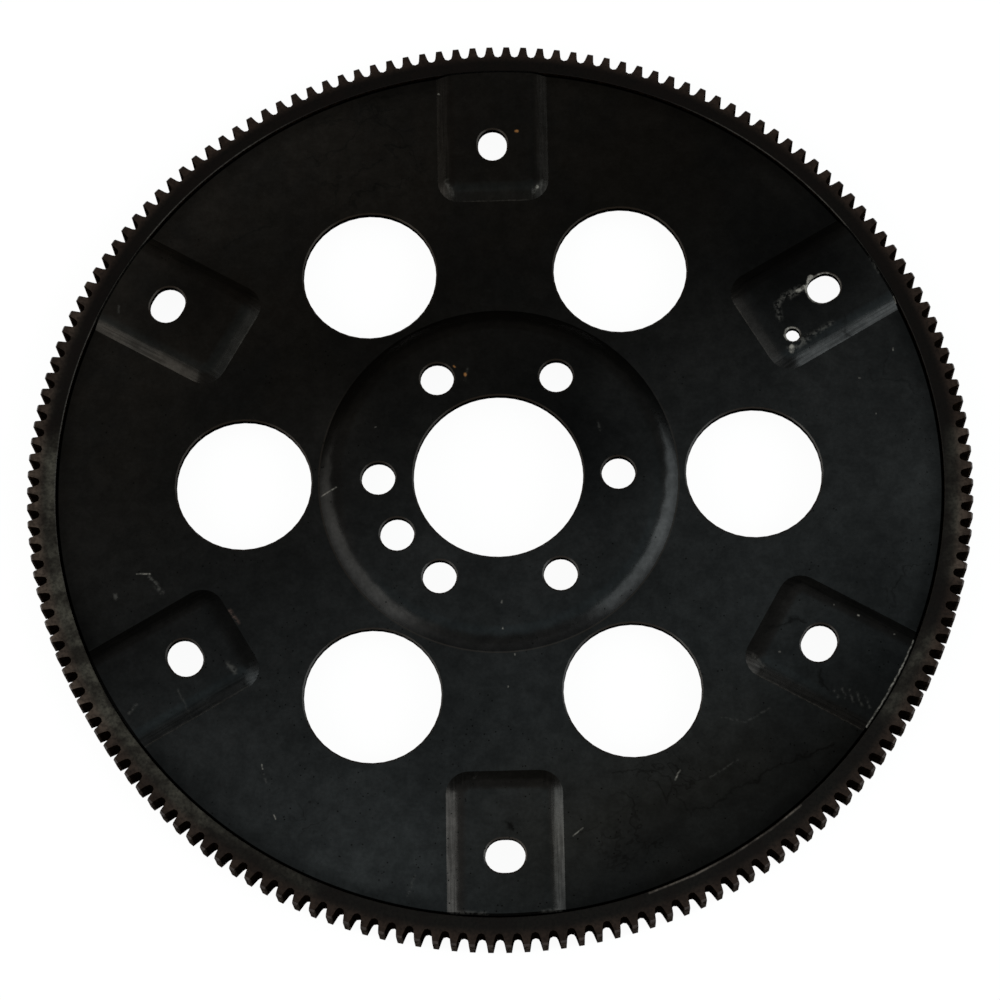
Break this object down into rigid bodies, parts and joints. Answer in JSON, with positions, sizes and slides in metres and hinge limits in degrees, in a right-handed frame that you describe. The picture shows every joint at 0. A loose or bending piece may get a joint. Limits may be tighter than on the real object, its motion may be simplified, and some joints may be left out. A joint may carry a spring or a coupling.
{
  "type": "flexplate",
  "caption": "Pressed steel flexplate with a raised hub, lightening holes, raised converter pads and a welded starter ring gear.",
  "frame": {"origin": "on the crankshaft axis, in the plane of the ring gear's lower face, which the part lies on", "axes": "+Z along the crankshaft axis, towards the side that the hub and the pads are raised to; +Y through the first converter pad, +X to the right of it"},
  "size_m": [0.359, 0.359, 0.0153],
  "materials": {
    "disc_steel": "blackened and oiled, satin, with scratches and small worn spots",
    "gear_steel": "browned, satin, lighter on the bore edge",
    "weld_steel": "dark rippled weld"
  },
  "bodies": {
    "root": {"flex_disc": "disc_steel", "ring_gear": "gear_steel", "weld_bead_01": "weld_steel", "weld_bead_02": "weld_steel", "weld_bead_03": "weld_steel", "weld_bead_04": "weld_steel", "weld_bead_05": "weld_steel", "weld_bead_06": "weld_steel", "weld_bead_07": "weld_steel", "weld_bead_08": "weld_steel", "weld_bead_09": "weld_steel", "weld_bead_10": "weld_steel", "weld_bead_11": "weld_steel", "weld_bead_12": "weld_steel"}
  },
  "joints": []
}
